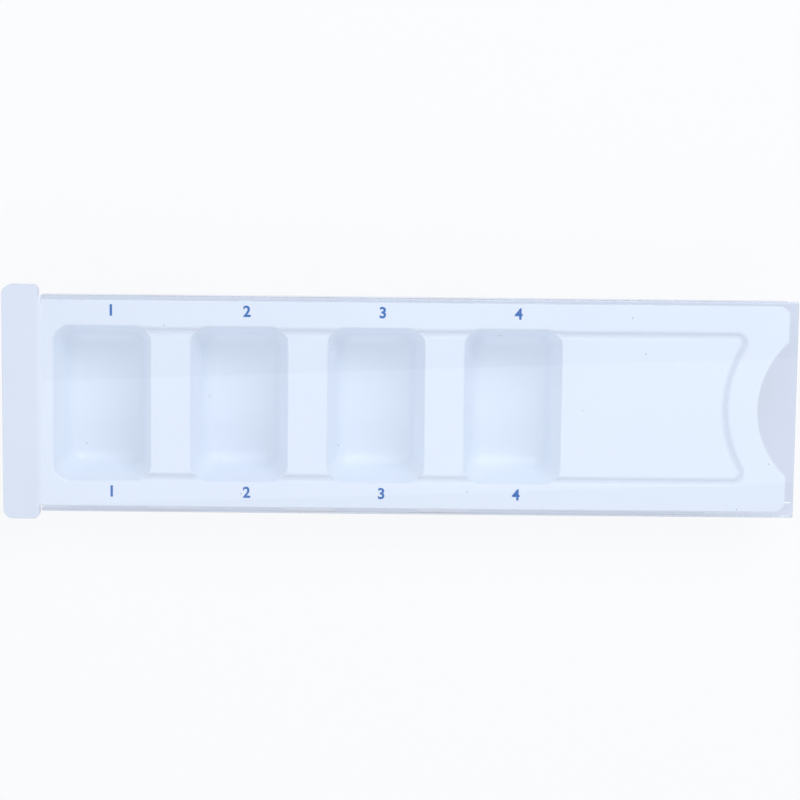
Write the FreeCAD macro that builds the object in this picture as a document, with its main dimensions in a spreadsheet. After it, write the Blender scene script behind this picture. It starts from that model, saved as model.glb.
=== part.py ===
import FreeCAD, Part
import math
import os
import Sketcher

# Day dispenser for tablets: a white tray with four scooped wells, a writing field, a thumb notch and a
# grip bar, under a clear cover whose rails hook round the tray's flange. Millimetres, +Z up, +X from the
# grip bar to the notch. The frame's origin is the middle of the underside of the closed dispenser.

SIZES = {
    # Plan of the tray
    "bar_width": 8.2,
    "bar_overhang": 3.2,
    "bar_thickness": 3.2,
    "bar_corner_radius": 2.2,
    "bar_inner_radius": 1.4,
    "neck_fillet": 0.6,
    "body_length": 170.1,
    "body_width": 47.1,
    "lobe_corner_radius": 2.4,
    "notch_radius": 20.8,
    "notch_depth": 6.8,
    "notch_corner_radius": 1.2,
    # Heights and walls of the tray
    "tray_height": 13.8,
    "flange_thickness": 1.6,
    "edge_round": 0.3,
    "wall": 1.3,
    "floor_thickness": 1.2,
    # Recess outline, and the groove along it round bridges and writing field
    "recess_start": 3.5,
    "flange_width": 5.8,
    "field_corner_radius": 2.9,
    "field_end_land": 6.2,
    "groove_width": 2.1,
    "groove_depth": 0.8,
    "groove_draft": 48.0,
    "groove_edge_round": 0.5,
    "groove_floor_round": 0.35,
    # Wells
    "well_count": 4,
    "well_pitch": 31.05,
    "well_length": 22.0,
    "well_corner_radius": 3.8,
    "draft_angle": 12.0,
    "floor_fillet": 3.5,
    "corner_margin": 0.1,
    "scoop_radius": 40.0,
    "well_edge_round": 0.55,
    # Ribs below
    "rib_thickness": 1.1,
    "rib_depth": 5.0,
    "foot_inset": 4.0,
    "bar_rib_count": 5,
    # Cover
    "cover_overhang": 1.7,
    "cover_wall": 0.8,
    "cover_gap": 0.85,
    "side_clearance": 0.4,
    "top_clearance": 0.4,
    "rail_lip": 2.2,
    "cover_corner_radius": 0.5,
}

# Places worked out from the sizes, along X from the outer face of the grip bar and up from the base
OVERALL = "(Sizes.bar_width + Sizes.body_length + Sizes.cover_overhang)"
BODY_END = "(Sizes.bar_width + Sizes.body_length)"
BAR_SPAN = "(Sizes.body_width + 2 * Sizes.bar_overhang)"
RECESS_WIDTH = "(Sizes.body_width - 2 * Sizes.flange_width)"
NOTCH_CENTRE = f"({BODY_END} + Sizes.notch_radius - Sizes.notch_depth)"
RECESS_END_RADIUS = "(Sizes.notch_radius + Sizes.field_end_land)"
FLANGE_UNDER = "(Sizes.tray_height - Sizes.flange_thickness)"
WELL_LEFT = "(Sizes.bar_width + Sizes.recess_start)"
WELL_MIDDLE = f"({WELL_LEFT} + Sizes.well_length / 2)"
LAST_WELL_RIGHT = f"({WELL_LEFT} + (Sizes.well_count - 1) * Sizes.well_pitch + Sizes.well_length)"
CUP_TOP = "(Sizes.tray_height - (Sizes.flange_thickness + Sizes.groove_depth) / 2)"
CAVITY_BOTTOM = "(Sizes.floor_thickness / 2)"
SCOOP_RISE = "(Sizes.well_length ^ 2 / (8 * Sizes.scoop_radius))"
FLOOR_FILLET = "min(Sizes.floor_fillet; Sizes.well_corner_radius - Sizes.corner_margin)"
FIELD_END = f"({NOTCH_CENTRE} - {RECESS_END_RADIUS})"

# How near a point lies to a line or a place to count as on it
ON_PLACE = 0.01


def make_sheet(doc):
    """Put the driving sizes in the sheet, one aliased cell each."""
    sheet = doc.addObject("Spreadsheet::Sheet", "Sizes")
    for row, (name, value) in enumerate(SIZES.items(), start=1):
        sheet.set(f"A{row}", name)
        sheet.set(f"B{row}", str(value))
        sheet.setAlias(f"B{row}", name)
    doc.recompute()
    return sheet


def evaluate(sheet, text):
    """Value of an expression in the sheet's sizes, for a first guess of a sketch or to find an edge."""
    result = sheet.evalExpression(text)
    return float(getattr(result, "Value", result))


def origin_plane(body, role):
    """One of a body's own origin planes."""
    for feature in body.Origin.OriginFeatures:
        if feature.Role == role:
            return feature
    raise ValueError(role)


def new_sketch(body, name, role="XY_Plane", level=None):
    """Sketch on an origin plane, moved along its normal by an expression."""
    sketch = body.newObject("Sketcher::SketchObject", name)
    sketch.AttachmentSupport = [(origin_plane(body, role), "")]
    sketch.MapMode = "FlatFace"
    if level is not None:
        sketch.setExpression("AttachmentOffset.Base.z", level)
    return sketch


def bind(sketch, name, kind, where, text, sheet):
    """Named dimension of a sketch, driven by an expression."""
    index = sketch.addConstraint(Sketcher.Constraint(kind, *where, evaluate(sheet, text)))
    sketch.renameConstraint(index, name)
    sketch.setExpression(f"Constraints.{name}", text)


def polygon(sketch, sheet, places):
    """Closed polygon whose corners lie at pairs of expressions."""
    corners = [FreeCAD.Vector(evaluate(sheet, x), evaluate(sheet, y), 0) for x, y in places]
    count = len(corners)
    for i in range(count):
        sketch.addGeometry(Part.LineSegment(corners[i], corners[(i + 1) % count]), False)
    for i in range(count):
        sketch.addConstraint(Sketcher.Constraint("Coincident", i, 2, (i + 1) % count, 1))
    for i, (x, y) in enumerate(places):
        bind(sketch, f"x{i}", "DistanceX", (-1, 1, i, 1), x, sheet)
        bind(sketch, f"y{i}", "DistanceY", (-1, 1, i, 1), y, sheet)


def rectangle(sketch, sheet, left, right, lower, upper):
    """Rectangle between four expressions."""
    polygon(sketch, sheet, [(left, lower), (right, lower), (right, upper), (left, upper)])


def recess_outline(sketch, sheet, inset):
    """Outline of the recess: round corners at the left, and a right end concentric with the notch."""
    left = f"{WELL_LEFT} + {inset}"
    half = f"({RECESS_WIDTH} / 2 - {inset})"
    left_radius = f"(Sizes.well_corner_radius - {inset})"
    right_radius = f"(Sizes.field_corner_radius - {inset})"
    end_radius = f"({RECESS_END_RADIUS} + {inset})"
    x0 = evaluate(sheet, left)
    y = evaluate(sheet, half)
    r0 = evaluate(sheet, left_radius)
    r1 = evaluate(sheet, right_radius)
    r2 = evaluate(sheet, end_radius)
    xc = evaluate(sheet, NOTCH_CENTRE)
    up = FreeCAD.Vector(0, 0, 1)
    tilt = math.asin((y - r1) / (r1 + r2))
    x1 = xc - (r1 + r2) * math.cos(tilt)
    quarter = math.pi / 2

    def line(xa, ya, xb, yb):
        sketch.addGeometry(Part.LineSegment(FreeCAD.Vector(xa, ya, 0), FreeCAD.Vector(xb, yb, 0)), False)

    def arc(cx, cy, radius, first, last):
        circle = Part.Circle(FreeCAD.Vector(cx, cy, 0), up, radius)
        sketch.addGeometry(Part.ArcOfCircle(circle, first, last), False)

    line(x0 + r0, -y, x1, -y)
    arc(x1, -(y - r1), r1, -quarter, tilt)
    arc(xc, 0, r2, math.pi - tilt, math.pi + tilt)
    arc(x1, y - r1, r1, -tilt, quarter)
    line(x1, y, x0 + r0, y)
    arc(x0 + r0, y - r0, r0, quarter, 2 * quarter)
    line(x0, y - r0, x0, -(y - r0))
    arc(x0 + r0, -(y - r0), r0, 2 * quarter, 3 * quarter)
    joints = [(0, 2, 1, 1), (1, 2, 2, 2), (2, 1, 3, 1), (3, 2, 4, 1),
              (4, 2, 5, 1), (5, 2, 6, 1), (6, 2, 7, 1), (7, 2, 0, 1)]
    for joint in joints:
        sketch.addConstraint(Sketcher.Constraint("Tangent", *joint))
    sketch.addConstraint(Sketcher.Constraint("Horizontal", 0))
    sketch.addConstraint(Sketcher.Constraint("Horizontal", 4))
    sketch.addConstraint(Sketcher.Constraint("Vertical", 6))
    sketch.addConstraint(Sketcher.Constraint("Equal", 1, 3))
    sketch.addConstraint(Sketcher.Constraint("Equal", 5, 7))
    sketch.addConstraint(Sketcher.Constraint("PointOnObject", 2, 3, -1))
    bind(sketch, "left_corner", "Radius", (5,), left_radius, sheet)
    bind(sketch, "right_corner", "Radius", (1,), right_radius, sheet)
    bind(sketch, "end", "Radius", (2,), end_radius, sheet)
    bind(sketch, "end_centre", "DistanceX", (-1, 1, 2, 3), NOTCH_CENTRE, sheet)
    bind(sketch, "left", "DistanceX", (-1, 1, 6, 1), left, sheet)
    bind(sketch, "upper", "DistanceY", (-1, 1, 4, 1), half, sheet)
    bind(sketch, "lower", "DistanceY", (0, 1, -1, 1), half, sheet)


def check(doc):
    """Stop if anything in the document failed to build."""
    for item in doc.Objects:
        if "Invalid" in item.State or "Error" in item.State:
            raise RuntimeError(f"{item.Name} failed: {item.State}")


def edges_where(shape, test):
    """Names of the edges whose middle and ends all pass a test."""
    names = []
    for index, edge in enumerate(shape.Edges, start=1):
        middle = edge.valueAt((edge.FirstParameter + edge.LastParameter) / 2)
        if all(test(point) for point in [middle] + [vertex.Point for vertex in edge.Vertexes]):
            names.append(f"Edge{index}")
    return names


def fillet(body, name, base, edges, radius):
    """Rolling ball fillet on named edges of the body's last feature."""
    feature = body.newObject("PartDesign::Fillet", name)
    feature.Base = (base, edges)
    feature.setExpression("Radius", radius)
    return feature


def scoop(body, sheet, name):
    """Cut the loft's floor to an arc that sags along X, through the whole width."""
    sketch = new_sketch(body, name + "Section", role="XZ_Plane")
    middle = evaluate(sheet, WELL_MIDDLE)
    half = evaluate(sheet, "Sizes.well_length / 2")
    radius = evaluate(sheet, "Sizes.scoop_radius")
    lowest = evaluate(sheet, "Sizes.floor_thickness")
    rise = radius - math.sqrt(radius ** 2 - half ** 2)
    below = lowest - half
    centre = FreeCAD.Vector(middle, lowest + radius, 0)
    swing = math.asin(half / radius)
    left = FreeCAD.Vector(middle - half, lowest + rise, 0)
    right = FreeCAD.Vector(middle + half, lowest + rise, 0)
    deep_left = FreeCAD.Vector(left.x, below, 0)
    deep_right = FreeCAD.Vector(right.x, below, 0)
    circle = Part.Circle(centre, FreeCAD.Vector(0, 0, 1), radius)
    sketch.addGeometry(Part.ArcOfCircle(circle, -math.pi / 2 - swing, -math.pi / 2 + swing), False)
    sketch.addGeometry(Part.LineSegment(right, deep_right), False)
    sketch.addGeometry(Part.LineSegment(deep_right, deep_left), False)
    sketch.addGeometry(Part.LineSegment(deep_left, left), False)
    for i in range(4):
        sketch.addConstraint(Sketcher.Constraint("Coincident", i, 2, (i + 1) % 4, 1))
    sketch.addConstraint(Sketcher.Constraint("Vertical", 1))
    sketch.addConstraint(Sketcher.Constraint("Horizontal", 2))
    sketch.addConstraint(Sketcher.Constraint("Vertical", 3))
    bind(sketch, "radius", "Radius", (0,), "Sizes.scoop_radius", sheet)
    bind(sketch, "middle", "DistanceX", (-1, 1, 0, 3), WELL_MIDDLE, sheet)
    bind(sketch, "centre", "DistanceY", (-1, 1, 0, 3), "Sizes.floor_thickness + Sizes.scoop_radius", sheet)
    bind(sketch, "left", "DistanceX", (-1, 1, 3, 1), WELL_LEFT, sheet)
    bind(sketch, "right", "DistanceX", (-1, 1, 1, 1), f"{WELL_LEFT} + Sizes.well_length", sheet)
    bind(sketch, "below", "DistanceY", (2, 1, -1, 1), "Sizes.well_length / 2 - Sizes.floor_thickness", sheet)
    pocket = body.newObject("PartDesign::Pocket", name)
    pocket.Profile = sketch
    pocket.SideType = "Symmetric"
    pocket.setExpression("Length", f"2 * {RECESS_WIDTH}")
    return pocket


def well_solid(doc, sheet, name, grow, top, bottom, bottom_round, cavity=False):
    """Row of drafted wells, as cavities or, grown by the wall, as the cups round them.

    The first is padded down from its rim and its corners and floor edge are rounded, and the row repeats
    it at the well pitch. The well's own sizes hold at the level of the flange. A cavity has its floor
    scooped too, and a slab above its rim, blended into it, that leaves the edge of the flange rounded.
    """
    body = doc.addObject("PartDesign::Body", name)
    body.AllowCompound = True
    inset = f"((Sizes.tray_height - {top}) * tan(Sizes.draft_angle * 1 deg) - {grow})"
    left = f"{WELL_LEFT} + {inset}"
    right = f"{WELL_LEFT} + Sizes.well_length - {inset}"
    half = f"({RECESS_WIDTH} / 2 - {inset})"
    rim = new_sketch(body, name + "Rim", level=top)
    rectangle(rim, sheet, left, right, f"-{half}", half)
    block = pad(body, name + "Pad", rim, f"{top} - {bottom}", downward=True)
    high = evaluate(sheet, top)
    low = evaluate(sheet, bottom)
    walls = []
    for index, face in enumerate(block.Shape.Faces, start=1):
        if face.BoundBox.ZLength > (high - low) / 2:
            walls.append(f"Face{index}")
        elif face.BoundBox.ZMax > high - ON_PLACE:
            mouth = f"Face{index}"
    draft = body.newObject("PartDesign::Draft", name + "Draft")
    draft.Base = (block, walls)
    draft.NeutralPlane = (block, [mouth])
    draft.Reversed = True
    draft.setExpression("Angle", "Sizes.draft_angle")
    doc.recompute()
    corners = [f"Edge{index}" for index, edge in enumerate(body.Shape.Edges, start=1)
               if edge.BoundBox.ZLength > (high - low) / 2]
    fillet(body, name + "Corners", body.Tip, corners, f"Sizes.well_corner_radius + {grow}")
    doc.recompute()
    if cavity:
        scoop(body, sheet, name + "Scoop")
        doc.recompute()
    reach = evaluate(sheet, f"2 * Sizes.floor_thickness + {SCOOP_RISE}")
    edges = edges_where(body.Shape, lambda point: point.z < low + reach)
    fillet(body, name + "Round", body.Tip, edges, bottom_round)
    doc.recompute()
    if cavity:
        slab = new_sketch(body, name + "Slab", level=top)
        margin = "2 * Sizes.well_edge_round"
        rectangle(slab, sheet, f"{left} - {margin}", f"{right} + {margin}",
                  f"-{half} - {margin}", f"{half} + {margin}")
        pad(body, name + "Above", slab, "Sizes.wall")
        rim_half = evaluate(sheet, f"{half} + Sizes.well_edge_round")
        rim_left = evaluate(sheet, f"{left} - Sizes.well_edge_round")
        edges = edges_where(body.Shape, lambda point: abs(point.z - high) < ON_PLACE
                            and abs(point.y) < rim_half and point.x > rim_left)
        fillet(body, name + "RimRound", body.Tip, edges, "Sizes.well_edge_round")
        doc.recompute()
    row = body.newObject("PartDesign::LinearPattern", name + "Row")
    row.TransformMode = "Whole shape"
    row.Direction = (origin_plane(body, "X_Axis"), [""])
    row.Mode = "Spacing"
    row.setExpression("Offset", "Sizes.well_pitch")
    row.setExpression("Occurrences", "Sizes.well_count")
    body.Tip = row
    doc.recompute()
    return body


def edges_along(shape, line):
    """Names of the edges whose middle lies on a line of a sketch."""
    names = []
    for index, edge in enumerate(shape.Edges, start=1):
        middle = edge.valueAt((edge.FirstParameter + edge.LastParameter) / 2)
        if line.distToShape(Part.Vertex(middle))[0] < ON_PLACE:
            names.append(f"Edge{index}")
    return names


def level_edges(shape, level):
    """Names of the edges that lie at one height."""
    return edges_where(shape, lambda point: abs(point.z - level) < ON_PLACE)


def upright_edges(shape, x, y):
    """Names of the upright edges at a place, on both sides of the middle."""
    def near(point):
        return abs(point.x - x) < ON_PLACE and abs(abs(point.y) - y) < ON_PLACE
    return edges_where(shape, near)


def pad(body, name, sketch, length, downward=False, taper=None):
    """Pad of a sketch, upward unless told otherwise."""
    feature = body.newObject("PartDesign::Pad", name)
    feature.Profile = sketch
    feature.Reversed = downward
    feature.setExpression("Length", length)
    if taper:
        feature.setExpression("TaperAngle", taper)
    body.Document.recompute()
    return feature


def pocket(body, name, sketch, length, upward=False, taper=None):
    """Pocket of a sketch, downward unless told otherwise; the solid must get smaller."""
    before = body.Shape.Volume
    feature = body.newObject("PartDesign::Pocket", name)
    feature.Profile = sketch
    feature.Reversed = upward
    feature.setExpression("Length", length)
    if taper:
        feature.setExpression("TaperAngle", taper)
    body.Document.recompute()
    if not body.Shape.Volume < before:
        raise RuntimeError(f"{name} cuts nothing")
    return feature


def combine(body, name, kind, other):
    """Fuse another body with this one, or cut it away."""
    feature = body.newObject("PartDesign::Boolean", name)
    feature.Type = kind
    feature.setObjects([other])
    body.Document.recompute()
    return feature


def tray_plate(body, sheet):
    """Flange and grip bar with their corners and the thumb notch."""
    plate = new_sketch(body, "Plate", level="Sizes.tray_height")
    rectangle(plate, sheet, "Sizes.bar_width / 2", BODY_END, "-Sizes.body_width / 2", "Sizes.body_width / 2")
    pad(body, "Flange", plate, "Sizes.flange_thickness", downward=True)
    bar = new_sketch(body, "Bar", level="Sizes.tray_height")
    rectangle(bar, sheet, "0", "Sizes.bar_width", f"-{BAR_SPAN} / 2", f"{BAR_SPAN} / 2")
    pad(body, "GripBar", bar, "Sizes.bar_thickness", downward=True)

    notch = new_sketch(body, "NotchCircle", level="Sizes.tray_height")
    radius = evaluate(sheet, "Sizes.notch_radius")
    centre = FreeCAD.Vector(evaluate(sheet, NOTCH_CENTRE), 0, 0)
    notch.addGeometry(Part.Circle(centre, FreeCAD.Vector(0, 0, 1), radius), False)
    notch.addConstraint(Sketcher.Constraint("PointOnObject", 0, 3, -1))
    bind(notch, "radius", "Radius", (0,), "Sizes.notch_radius", sheet)
    bind(notch, "centre", "DistanceX", (-1, 1, 0, 3), NOTCH_CENTRE, sheet)
    pocket(body, "ThumbNotch", notch, "Sizes.flange_thickness")

    body_end = evaluate(sheet, BODY_END)
    bar_width = evaluate(sheet, "Sizes.bar_width")
    half_span = evaluate(sheet, f"{BAR_SPAN} / 2")
    half_body = evaluate(sheet, "Sizes.body_width / 2")
    sagitta = evaluate(sheet, "Sizes.notch_radius - Sizes.notch_depth")
    half_chord = math.sqrt(radius ** 2 - sagitta ** 2)
    rounds = [("BarCorners", 0.0, half_span, "Sizes.bar_corner_radius"),
              ("BarInnerCorners", bar_width, half_span, "Sizes.bar_inner_radius"),
              ("NeckFillets", bar_width, half_body, "Sizes.neck_fillet"),
              ("LobeCorners", body_end, half_body, "Sizes.lobe_corner_radius"),
              ("NotchCorners", body_end, half_chord, "Sizes.notch_corner_radius")]
    for name, x, y, size in rounds:
        fillet(body, name, body.Tip, upright_edges(body.Shape, x, y), size)
        body.Document.recompute()
    top = evaluate(sheet, "Sizes.tray_height")
    fillet(body, "TopEdge", body.Tip, level_edges(body.Shape, top), "Sizes.edge_round")
    body.Document.recompute()


def tray_groove(body, sheet):
    """Groove inside the recess outline: a shallow pocket with the bridges and field left standing."""
    outer = new_sketch(body, "GrooveOuter", level="Sizes.tray_height")
    recess_outline(outer, sheet, "0")
    pocket(body, "GroovePocket", outer, "Sizes.groove_depth", taper="-Sizes.groove_draft")
    inner = new_sketch(body, "GrooveInner", level="Sizes.tray_height")
    recess_outline(inner, sheet, "Sizes.groove_width")
    pad(body, "GrooveIsland", inner, "Sizes.groove_depth", downward=True, taper="Sizes.groove_draft")
    for name, line in (("GrooveOuterRound", outer), ("GrooveInnerRound", inner)):
        edges = edges_along(body.Shape, line.Shape)
        fillet(body, name, body.Tip, edges, "Sizes.groove_edge_round")
        body.Document.recompute()
    floor = evaluate(sheet, "Sizes.tray_height - Sizes.groove_depth")
    edges = level_edges(body.Shape, floor)
    fillet(body, "GrooveFloorRound", body.Tip, edges, "Sizes.groove_floor_round")
    body.Document.recompute()


def hollow_bar(body, sheet):
    """Hollow the grip bar from below and leave cross ribs in it."""
    hollow = new_sketch(body, "BarHollow", level="Sizes.tray_height - Sizes.bar_thickness")
    half = f"({BAR_SPAN} / 2 - Sizes.wall)"
    rectangle(hollow, sheet, "Sizes.wall", "Sizes.bar_width - Sizes.wall", f"-{half}", half)
    pocket(body, "BarPocket", hollow, "Sizes.bar_thickness - Sizes.flange_thickness", upward=True)
    for i in range(SIZES["bar_rib_count"]):
        middle = f"({BAR_SPAN} * ({i + 1} / (Sizes.bar_rib_count + 1) - 0.5))"
        rib = new_sketch(body, f"BarRibPlan{i + 1}", level=FLANGE_UNDER)
        rectangle(rib, sheet, "Sizes.wall / 2", "Sizes.bar_width - Sizes.wall / 2",
                  f"{middle} - Sizes.rib_thickness / 2", f"{middle} + Sizes.rib_thickness / 2")
        pad(body, f"BarRib{i + 1}", rib, "Sizes.bar_thickness - Sizes.flange_thickness", downward=True)


def lower_ribs(body, sheet):
    """Keel from cup to cup and a U of ribs that carries the writing field down to the table."""
    keel = new_sketch(body, "KeelPlan", level=FLANGE_UNDER)
    foot_end = f"({FIELD_END} - Sizes.foot_inset)"
    rectangle(keel, sheet, WELL_MIDDLE, foot_end, "-Sizes.rib_thickness / 2", "Sizes.rib_thickness / 2")
    pad(body, "Keel", keel, "Sizes.rib_depth", downward=True)
    foot = new_sketch(body, "FootPlan")
    outer = f"({RECESS_WIDTH} / 2 - Sizes.foot_inset)"
    inner = f"({outer} - Sizes.rib_thickness)"
    start = f"({LAST_WELL_RIGHT} - Sizes.wall)"
    inner_end = f"({foot_end} - Sizes.rib_thickness)"
    polygon(foot, sheet, [(start, f"-{outer}"), (foot_end, f"-{outer}"), (foot_end, outer),
                          (start, outer), (start, inner), (inner_end, inner),
                          (inner_end, f"-{inner}"), (start, f"-{inner}")])
    pad(body, "Foot", foot, FLANGE_UNDER)


def make_tray(doc, sheet):
    """White moulding: flange, grip bar, wells, bridges, writing field and notch, ribs below."""
    body = doc.addObject("PartDesign::Body", "Tray")
    body.Label = "compartment_tray"
    tray_plate(body, sheet)
    hollow_bar(body, sheet)
    tray_groove(body, sheet)
    cups = well_solid(doc, sheet, "WellCups", "Sizes.wall", CUP_TOP, "0",
                      f"({FLOOR_FILLET} + Sizes.floor_thickness)")
    cavities = well_solid(doc, sheet, "WellCavities", "0", "Sizes.tray_height", CAVITY_BOTTOM,
                          FLOOR_FILLET, cavity=True)
    combine(body, "AddCups", "Fuse", cups)
    lower_ribs(body, sheet)
    combine(body, "CutWells", "Cut", cavities)
    return body


def make_cover(doc, sheet):
    """Clear profile, open along the middle of its underside, with rails that hook under the flange."""
    body = doc.addObject("PartDesign::Body", "Cover")
    body.Label = "sliding_cover"
    inner = "(Sizes.body_width / 2 + Sizes.side_clearance)"
    outer = f"({inner} + Sizes.cover_wall)"
    lip = f"({inner} - Sizes.rail_lip)"
    ceiling = "(Sizes.tray_height + Sizes.top_clearance)"
    roof = f"({ceiling} + Sizes.cover_wall)"
    lip_top = f"({FLANGE_UNDER} - Sizes.top_clearance)"
    lip_under = f"({lip_top} - Sizes.cover_wall)"
    section = new_sketch(body, "CoverSection", role="YZ_Plane", level="Sizes.bar_width + Sizes.cover_gap")
    one_side = [(inner, ceiling), (inner, lip_top), (lip, lip_top),
                (lip, lip_under), (outer, lip_under), (outer, roof)]
    other_side = [(f"-{y}", z) for y, z in reversed(one_side)]
    polygon(section, sheet, one_side + other_side)
    length = "(Sizes.body_length - Sizes.cover_gap + Sizes.cover_overhang)"
    pad(body, "CoverProfile", section, length)
    half_outer = evaluate(sheet, outer)
    levels = [evaluate(sheet, lip_under), evaluate(sheet, roof)]

    def outer_corner(point):
        beside = abs(abs(point.y) - half_outer) < ON_PLACE
        return beside and min(abs(point.z - level) for level in levels) < ON_PLACE

    corners = [name for name in edges_where(body.Shape, outer_corner)
               if body.Shape.getElement(name).BoundBox.XLength > evaluate(sheet, length) / 2]
    fillet(body, "CoverCorners", body.Tip, corners, "Sizes.cover_corner_radius")
    doc.recompute()
    return body


def main():
    doc = FreeCAD.newDocument("PillOrganizer")
    sheet = make_sheet(doc)
    nodes = [make_tray(doc, sheet), make_cover(doc, sheet)]
    for node in nodes:
        node.setExpression("Placement.Base.x", f"-{OVERALL} / 2")
    doc.recompute()
    check(doc)
    os.makedirs("parts", exist_ok=True)
    for node in nodes:
        if node.Shape.isNull() or not node.Shape.isValid() or len(node.Shape.Solids) != 1:
            raise RuntimeError(f"{node.Label} is not one valid solid")
        node.Shape.exportStep(f"parts/{node.Label}.step")


main()
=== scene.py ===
import math

import bpy
from mathutils import Matrix, Vector


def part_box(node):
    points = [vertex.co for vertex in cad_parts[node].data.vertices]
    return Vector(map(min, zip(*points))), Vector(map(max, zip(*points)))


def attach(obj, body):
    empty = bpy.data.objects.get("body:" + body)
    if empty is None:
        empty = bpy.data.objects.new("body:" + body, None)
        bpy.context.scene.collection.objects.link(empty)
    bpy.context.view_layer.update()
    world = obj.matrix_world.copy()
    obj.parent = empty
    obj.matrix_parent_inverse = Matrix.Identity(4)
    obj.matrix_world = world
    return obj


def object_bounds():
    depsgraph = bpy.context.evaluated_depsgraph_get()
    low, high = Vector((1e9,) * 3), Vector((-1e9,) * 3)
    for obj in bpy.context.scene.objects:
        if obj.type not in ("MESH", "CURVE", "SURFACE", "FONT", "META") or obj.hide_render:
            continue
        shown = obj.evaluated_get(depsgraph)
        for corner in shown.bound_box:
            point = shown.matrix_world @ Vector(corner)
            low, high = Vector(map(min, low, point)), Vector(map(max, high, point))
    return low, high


# A white day dispenser for tablets under its clear sliding cover, lying on a pale table and seen
# from above. Metres, in the frame of the CAD model: +X from the grip bar to the thumb notch, +Z up.

MM = 0.001
RISING = (0.0, 1.0)
FALLING = (1.0, 0.0)

# Camera, as found from the places of known points in the picture
PICTURE_SIDE = 800.0
SENSOR_WIDTH = 36.0
FOCAL_PIXELS = 2485.0
CAMERA_PLACE = Vector((-2.3, 75.3, 572.8)) * MM
CAMERA_TILT = math.radians(-7.53)
CAMERA_SWING = math.radians(-0.26)
CAMERA_ROLL = math.radians(0.56)
CAMERA_CLIP = 10.0 * MM

# White plastic of the tray: two near whites with flow marks between them, and a satin grain
FLOW_SCALE = 35.0
FLOW_DETAIL = 3.0
FLOW_SPAN = (0.35, 0.65)
FLOW_WHITES = ((0.88, 0.925, 0.985), (0.895, 0.94, 0.99))
SATIN_SCALE = 900.0
SATIN_DETAIL = 4.0
SATIN_SPAN = (0.3, 0.7)
SATIN_ROUGHNESS = (0.34, 0.43)
SATIN_DEPTH = 0.004 * MM
TRAY_IOR = 1.5

# Where the painted shade on the grip bar stops, just right of the bar, and how much darker it
# paints the bar
BAR_SHADE_SPAN = (-82.2 * MM, -81.4 * MM)
BAR_SHADE_TONE = (0.93, 0.935, 0.95)

# Painted shade, a darker tone in the colour, at the bottom of the groove round the wells and the
# field: it thins out between two heights, ends above the walls of the wells, beside the groove and
# past its end, and lies only where the surface faces up
GROOVE_SHADE_THINS = (13.15 * MM, 13.6 * MM)
GROOVE_SHADE_FOOT = (12.8 * MM, 12.9 * MM)
GROOVE_SHADE_SIDE = (17.9 * MM, 18.1 * MM)
GROOVE_SHADE_END = (80.9 * MM, 81.1 * MM)
GROOVE_SHADE_LEVEL = (0.35, 0.65)
GROOVE_SHADE_TONE = (0.88, 0.88, 0.89)

# Clear plastic of the cover, with lengthwise hairlines on its top face only
CLEAR_TONE = (0.975, 0.985, 1.0)
COVER_IOR = 1.52
HAIRLINE_SCALE = 1400.0
HAIRLINE_STRETCH = (0.02, 1.0, 1.0)
HAIRLINE_SPAN = (0.66, 0.74)
HAIRLINE_ROUGHNESS = (0.0, 0.09)
TOP_FACE_SPAN = (14.85 * MM, 14.95 * MM)

# Specks of dust on the cover: how close together, their soft edge, how much they hide, their colour
SPECK_SCALE = 38.0
SPECK_EDGE = (0.002, 0.005)
SPECK_HIDES = (0.5, 0.0)
SPECK_GREY = (0.40, 0.43, 0.50)

# Rays for which the cover is open, and its tone for them. Any other ray is let through as well
# once it has bounced this often.
LAMPLIGHT = {"Is Shadow Ray": 1.0, "Is Diffuse Ray": 1.0}
OPEN_TONE = (0.98, 0.985, 0.99)
TRAPPED_DEPTH = 3.5

# Ink: two blues where it lies thick and thin
INK_SCALE = 1500.0
INK_DETAIL = 3.0
INK_SPAN = (0.35, 0.7)
INK_BLUES = ((0.003, 0.135, 0.47), (0.008, 0.165, 0.52))
INK_ROUGHNESS = 0.45
INK_SPECULAR = 0.2

# Numbers printed on the flange, above and below each well. Their outlines are fattened by a part of
# the type size, and at 0.036 the 3 no longer fills.
NUMBER_COUNT = 4
NUMBER_FIRST_X = -65.2 * MM
NUMBER_SPACING = 30.7 * MM
NUMBER_HEIGHT = 2.5 * MM
NUMBER_BASELINES = (20.1 * MM, -21.3 * MM)
NUMBER_BOLDNESS = 0.028
INK_THICKNESS = 0.012 * MM

# Table: its pale colour in open air, darker blues as painted shade where it is seen through the
# cover, and the share of each kind of ray that sees plain white instead. A ray that came through
# the clear cover counts as glossy too, so its share is the sum of those two, here and in the
# surround.
TABLE_HALF = 1.5
TABLE_DROP = 0.05 * MM
TABLE_SCALE = 6.0
TABLE_SHADE_BLUES = ((0.42, 0.53, 0.75), (0.44, 0.55, 0.77))
TABLE_PALE = (0.84, 0.86, 0.89)
TABLE_ROUGHNESS = 0.8
TABLE_SPECULAR = 0.2
OPEN_AIR = {"Is Camera Ray": 1.0, "Is Diffuse Ray": 1.0}
TABLE_WHITE = {"Is Camera Ray": 0.87, "Is Glossy Ray": 0.94, "Is Transmission Ray": -0.48}

# Surround: its light, and the share of each kind of ray that sees plain white instead
SURROUND_COLOUR = (0.855, 0.90, 1.0)
SURROUND_STRENGTH = 0.545
SURROUND_WHITE = {"Is Camera Ray": 1.0, "Is Glossy Ray": 0.25, "Is Transmission Ray": 0.75}

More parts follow.
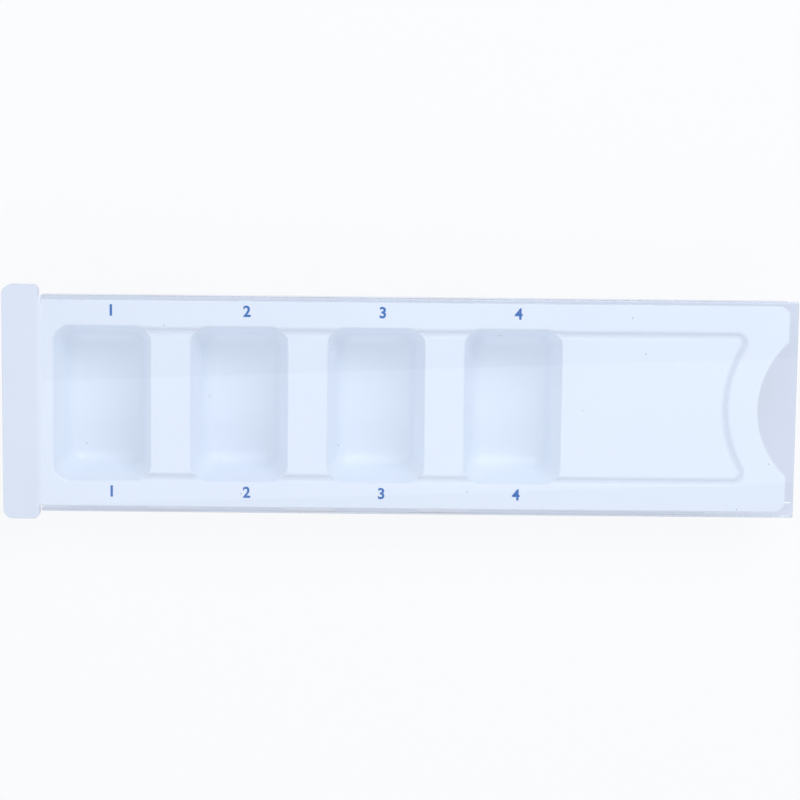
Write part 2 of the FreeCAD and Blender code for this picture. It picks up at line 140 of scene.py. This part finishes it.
# Cool soft lamps: name, place, aim, width, depth, watts and turn. The strip overhead is the one
# that the cover mirrors in the picture, as a pale band along its lower half.
LAMP_COLOUR = (0.89, 0.925, 1.0)
MIDDLE = (0.0, 0.0, 0.0)
LAMPS = (
    ("back_box", (0.25, 0.50, 0.50), MIDDLE, 0.45, 0.3, 1.38, 0.0),
    ("front_box", (0.05, -0.85, 0.60), MIDDLE, 1.0, 0.6, 2.25, 0.0),
    ("left_box", (-0.9, 0.05, 0.52), MIDDLE, 0.8, 0.5, 1.75, 0.0),
    ("right_box", (0.9, 0.05, 0.52), MIDDLE, 0.8, 0.5, 0.45, 0.0),
    ("near_box", (0.07, 0.15, 0.32), (0.035, 0.0, 0.0), 0.3, 0.2, 0.185, 0.0),
    ("strip", (0.01, -0.0908, 0.60), (0.01, -0.0908, 0.0), 0.6, 0.0585, 0.038, math.radians(2.3)),
)

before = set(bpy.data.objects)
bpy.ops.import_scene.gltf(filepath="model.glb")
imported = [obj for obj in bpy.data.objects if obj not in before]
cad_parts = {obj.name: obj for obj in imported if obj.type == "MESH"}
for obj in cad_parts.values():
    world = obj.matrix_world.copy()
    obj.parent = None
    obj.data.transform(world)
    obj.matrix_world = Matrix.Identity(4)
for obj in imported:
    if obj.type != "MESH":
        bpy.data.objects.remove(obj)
cad_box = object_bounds()


def new_material(name):
    """Empty node material: itself, its node tree and its surface socket."""
    material = bpy.data.materials.new(name)
    material.use_nodes = True
    tree = material.node_tree
    tree.nodes.clear()
    output = tree.nodes.new("ShaderNodeOutputMaterial")
    return material, tree, output.inputs["Surface"]


def own_metres(tree):
    """The object's own metres."""
    return tree.nodes.new("ShaderNodeTexCoord").outputs["Object"]


def facing(tree):
    """The surface's direction in the object's own frame."""
    return tree.nodes.new("ShaderNodeTexCoord").outputs["Normal"]


def part_of(tree, vector, axis):
    """One part of a vector."""
    parts = tree.nodes.new("ShaderNodeSeparateXYZ")
    tree.links.new(vector, parts.inputs["Vector"])
    return parts.outputs[axis]


def noise(tree, scale, detail=2.0, stretch=(1.0, 1.0, 1.0)):
    """Noise laid in the object's own metres, squeezed along each axis by a factor."""
    squeeze = tree.nodes.new("ShaderNodeMapping")
    squeeze.inputs["Scale"].default_value = stretch
    tree.links.new(own_metres(tree), squeeze.inputs["Vector"])
    texture = tree.nodes.new("ShaderNodeTexNoise")
    texture.inputs["Scale"].default_value = scale
    texture.inputs["Detail"].default_value = detail
    tree.links.new(squeeze.outputs["Vector"], texture.inputs["Vector"])
    return texture.outputs["Fac"]


def mapped(tree, value, span, onto=RISING):
    """A value carried from one span onto another, and held at its ends."""
    ranger = tree.nodes.new("ShaderNodeMapRange")
    for socket, limit in zip(("From Min", "From Max", "To Min", "To Max"), (*span, *onto)):
        ranger.inputs[socket].default_value = limit
    tree.links.new(value, ranger.inputs["Value"])
    return ranger.outputs["Result"]


def calculated(tree, operation, *values, clamped=False):
    """Result of one sum on values or plain numbers."""
    node = tree.nodes.new("ShaderNodeMath")
    node.operation = operation
    node.use_clamp = clamped
    for value, socket in zip(values, node.inputs):
        if isinstance(value, float):
            socket.default_value = value
        else:
            tree.links.new(value, socket)
    return node.outputs["Value"]


def ray_share(tree, shares):
    """Sum of the shares of each kind of ray that meets a surface, kept between nothing and all."""
    path = tree.nodes.new("ShaderNodeLightPath")
    total = 0.0
    for kind, share in shares.items():
        total = calculated(tree, "MULTIPLY_ADD", path.outputs[kind], share, total, clamped=True)
    return total


def blended(tree, factor, first, second, way="MIX"):
    """Blend of two colours by a factor. Each is plain or comes from a node."""
    mixer = tree.nodes.new("ShaderNodeMix")
    mixer.data_type = "RGBA"
    mixer.blend_type = way
    tree.links.new(factor, mixer.inputs["Factor"])
    for colour, socket in ((first, mixer.inputs["A"]), (second, mixer.inputs["B"])):
        if isinstance(colour, tuple):
            socket.default_value = (*colour, 1.0)
        else:
            tree.links.new(colour, socket)
    return mixer.outputs["Result"]


def bump(tree, height, depth):
    """Bump of a given depth in metres."""
    node = tree.nodes.new("ShaderNodeBump")
    node.inputs["Strength"].default_value = 1.0
    node.inputs["Distance"].default_value = depth
    tree.links.new(height, node.inputs["Height"])
    return node.outputs["Normal"]


def mixed(tree, factor, first, second):
    """Mix of two shaders by a factor."""
    mixer = tree.nodes.new("ShaderNodeMixShader")
    tree.links.new(factor, mixer.inputs["Fac"])
    tree.links.new(first, mixer.inputs[1])
    tree.links.new(second, mixer.inputs[2])
    return mixer.outputs["Shader"]


def groove_painted_shade(tree):
    """How strong the painted shade is: all at the bottom of the groove, none elsewhere."""
    along, across, up = (part_of(tree, own_metres(tree), axis) for axis in "XYZ")
    factors = (
        mapped(tree, calculated(tree, "ABSOLUTE", across), GROOVE_SHADE_SIDE, FALLING),
        mapped(tree, along, GROOVE_SHADE_END, FALLING),
        mapped(tree, up, GROOVE_SHADE_FOOT),
        mapped(tree, part_of(tree, facing(tree), "Z"), GROOVE_SHADE_LEVEL),
    )
    dust_and_painted_shade = mapped(tree, up, GROOVE_SHADE_THINS, FALLING)
    for factor in factors:
        dust_and_painted_shade = calculated(tree, "MULTIPLY", dust_and_painted_shade, factor)
    return dust_and_painted_shade


def white_plastic():
    """Cool white moulded plastic, satin, with faint flow marks.

    Painted shade makes the grip bar a little darker, and the bottom of the groove darker.
    """
    material, tree, surface = new_material("white_plastic")
    shader = tree.nodes.new("ShaderNodeBsdfPrincipled")
    flow = mapped(tree, noise(tree, FLOW_SCALE, FLOW_DETAIL), FLOW_SPAN)
    colour = blended(tree, flow, *FLOW_WHITES)
    # Painted shade: the grip bar is a little darker in the colour than the rest
    bar_shade = mapped(tree, part_of(tree, own_metres(tree), "X"), BAR_SHADE_SPAN, FALLING)
    colour = blended(tree, bar_shade, colour, BAR_SHADE_TONE, "MULTIPLY")
    # Painted shade: the bottom of the groove is darkened in the colour
    colour = blended(tree, groove_painted_shade(tree), colour, GROOVE_SHADE_TONE, "MULTIPLY")
    tree.links.new(colour, shader.inputs["Base Color"])
    grain = noise(tree, SATIN_SCALE, SATIN_DETAIL)
    roughness = mapped(tree, grain, SATIN_SPAN, SATIN_ROUGHNESS)
    tree.links.new(roughness, shader.inputs["Roughness"])
    tree.links.new(bump(tree, grain, SATIN_DEPTH), shader.inputs["Normal"])
    shader.inputs["IOR"].default_value = TRAY_IOR
    tree.links.new(shader.outputs["BSDF"], surface)
    return material


def clear_plastic():
    """Clear polished plastic with hairlines from sliding and a few specks of dust.

    It is open to lamplight. Light that has turned many times inside a wall gets out, so that cut
    ends and edges don't go black.
    """
    material, tree, surface = new_material("clear_plastic")
    shader = tree.nodes.new("ShaderNodeBsdfPrincipled")
    shader.inputs["Base Color"].default_value = (*CLEAR_TONE, 1.0)
    shader.inputs["Transmission Weight"].default_value = 1.0
    shader.inputs["IOR"].default_value = COVER_IOR
    hairlines = mapped(tree, noise(tree, HAIRLINE_SCALE, stretch=HAIRLINE_STRETCH), HAIRLINE_SPAN)
    on_top = mapped(tree, part_of(tree, own_metres(tree), "Z"), TOP_FACE_SPAN)
    rubbed = calculated(tree, "MULTIPLY", hairlines, on_top)
    roughness = mapped(tree, rubbed, RISING, HAIRLINE_ROUGHNESS)
    tree.links.new(roughness, shader.inputs["Roughness"])
    specks = tree.nodes.new("ShaderNodeTexVoronoi")
    specks.voronoi_dimensions = "2D"
    specks.inputs["Scale"].default_value = SPECK_SCALE
    tree.links.new(own_metres(tree), specks.inputs["Vector"])
    dusty = mapped(tree, specks.outputs["Distance"], SPECK_EDGE, SPECK_HIDES)
    dust_and_painted_shade = tree.nodes.new("ShaderNodeBsdfDiffuse")
    dust_and_painted_shade.inputs["Color"].default_value = (*SPECK_GREY, 1.0)
    plastic = mixed(tree, dusty, shader.outputs["BSDF"], dust_and_painted_shade.outputs["BSDF"])
    through = tree.nodes.new("ShaderNodeBsdfTransparent")
    through.inputs["Color"].default_value = (*OPEN_TONE, 1.0)
    depth = tree.nodes.new("ShaderNodeLightPath").outputs["Ray Depth"]
    trapped = calculated(tree, "GREATER_THAN", depth, TRAPPED_DEPTH)
    let_out = calculated(tree, "MAXIMUM", ray_share(tree, LAMPLIGHT), trapped)
    tree.links.new(mixed(tree, let_out, plastic, through.outputs["BSDF"]), surface)
    return material


def blue_ink():
    """Pad printed blue, a little uneven."""
    material, tree, surface = new_material("blue_ink")
    shader = tree.nodes.new("ShaderNodeBsdfPrincipled")
    thin = mapped(tree, noise(tree, INK_SCALE, INK_DETAIL), INK_SPAN)
    tree.links.new(blended(tree, thin, *INK_BLUES), shader.inputs["Base Color"])
    shader.inputs["Roughness"].default_value = INK_ROUGHNESS
    shader.inputs["Specular IOR Level"].default_value = INK_SPECULAR
    tree.links.new(shader.outputs["BSDF"], surface)
    return material


def table_white():
    """Table almost white to the eye, with the shadow kept, and painted shade in darker blues where
    it is seen through the cover.
    """
    material, tree, surface = new_material("table_white")
    shader = tree.nodes.new("ShaderNodeBsdfPrincipled")
    # Darker blues, painted shade of the table under the cover, for rays that come through the cover
    # or are mirrored
    blue = blended(tree, noise(tree, TABLE_SCALE), *TABLE_SHADE_BLUES)
    colour = blended(tree, ray_share(tree, OPEN_AIR), blue, TABLE_PALE)
    tree.links.new(colour, shader.inputs["Base Color"])
    shader.inputs["Roughness"].default_value = TABLE_ROUGHNESS
    shader.inputs["Specular IOR Level"].default_value = TABLE_SPECULAR
    white = tree.nodes.new("ShaderNodeEmission")
    white.inputs["Strength"].default_value = 1.0
    share = ray_share(tree, TABLE_WHITE)
    tree.links.new(mixed(tree, share, shader.outputs["BSDF"], white.outputs["Emission"]), surface)
    return material


def dress(node, material):
    """Give a CAD node one material."""
    node.data.materials.clear()
    node.data.materials.append(material)


def printed_number(text, x, baseline, height, material):
    """One number printed at a height, its middle at x and its foot on a baseline."""
    curve = bpy.data.curves.new(f"print_{text}", "FONT")
    curve.body = text
    curve.align_x = "CENTER"
    curve.offset = NUMBER_BOLDNESS
    letter = bpy.data.objects.new("letter", curve)
    bpy.context.collection.objects.link(letter)
    bpy.context.view_layer.update()
    mesh = bpy.data.meshes.new_from_object(letter)
    bpy.data.objects.remove(letter)
    bpy.data.curves.remove(curve)
    scale = NUMBER_HEIGHT / max(vertex.co.y for vertex in mesh.vertices)
    for vertex in mesh.vertices:
        vertex.co = Vector((vertex.co.x * scale + x, vertex.co.y * scale + baseline, height))
    row = "upper" if baseline > 0 else "lower"
    piece = bpy.data.objects.new(f"number_{text}_{row}", mesh)
    bpy.context.collection.objects.link(piece)
    piece.data.materials.append(material)
    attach(piece, "tray")


def table_top():
    """Large table just under the dispenser."""
    mesh = bpy.data.meshes.new("table_top")
    half = TABLE_HALF
    corners = [(-half, -half, 0), (half, -half, 0), (half, half, 0), (-half, half, 0)]
    mesh.from_pydata(corners, [], [(0, 1, 2, 3)])
    mesh.materials.append(table_white())
    floor = bpy.data.objects.new("table_top", mesh)
    floor.location.z = cad_box[0][2] - TABLE_DROP
    bpy.context.collection.objects.link(floor)


def area_lamp(name, place, aim, width, depth, watts, turn):
    """Rectangular soft lamp aimed at a point, not seen by the camera itself."""
    data = bpy.data.lights.new(name, "AREA")
    data.shape = "RECTANGLE"
    data.size = width
    data.size_y = depth
    data.energy = watts
    data.color = LAMP_COLOUR
    lamp = bpy.data.objects.new(name, data)
    towards = (Vector(aim) - Vector(place)).to_track_quat("-Z", "Y").to_matrix().to_4x4()
    lamp.matrix_world = Matrix.Translation(place) @ towards @ Matrix.Rotation(turn, 4, "Z")
    lamp.visible_camera = False
    bpy.context.collection.objects.link(lamp)


def surround():
    """Even cool light from all round that looks white."""
    world = bpy.data.worlds.new("surround")
    bpy.context.scene.world = world
    world.use_nodes = True
    tree = world.node_tree
    light = tree.nodes["Background"]
    light.inputs["Color"].default_value = (*SURROUND_COLOUR, 1.0)
    light.inputs["Strength"].default_value = SURROUND_STRENGTH
    white = tree.nodes.new("ShaderNodeBackground")
    white.inputs["Color"].default_value = (1.0, 1.0, 1.0, 1.0)
    white.inputs["Strength"].default_value = 1.0
    share = ray_share(tree, SURROUND_WHITE)
    seen = mixed(tree, share, light.outputs["Background"], white.outputs["Background"])
    tree.links.new(seen, tree.nodes["World Output"].inputs["Surface"])


def camera():
    """Camera of the photograph: almost straight down, leaning in from behind."""
    data = bpy.data.cameras.new("camera")
    data.sensor_width = SENSOR_WIDTH
    data.lens = FOCAL_PIXELS * SENSOR_WIDTH / PICTURE_SIDE
    data.clip_start = CAMERA_CLIP
    eye = bpy.data.objects.new("camera", data)
    tilt = Matrix.Rotation(CAMERA_TILT, 4, "X")
    swing = Matrix.Rotation(CAMERA_SWING, 4, "Y")
    roll = Matrix.Rotation(CAMERA_ROLL, 4, "Z")
    eye.matrix_world = Matrix.Translation(CAMERA_PLACE) @ (tilt @ swing @ roll)
    bpy.context.collection.objects.link(eye)
    bpy.context.scene.camera = eye


dress(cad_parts["compartment_tray"], white_plastic())
dress(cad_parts["sliding_cover"], clear_plastic())
ink = blue_ink()
ink_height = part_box("compartment_tray")[1][2] + INK_THICKNESS
for index in range(NUMBER_COUNT):
    for foot in NUMBER_BASELINES:
        middle = NUMBER_FIRST_X + index * NUMBER_SPACING
        printed_number(str(index + 1), middle, foot, ink_height, ink)
table_top()
for lamp_facts in LAMPS:
    area_lamp(*lamp_facts)
surround()
camera()
bpy.context.scene.view_settings.view_transform = "Standard"
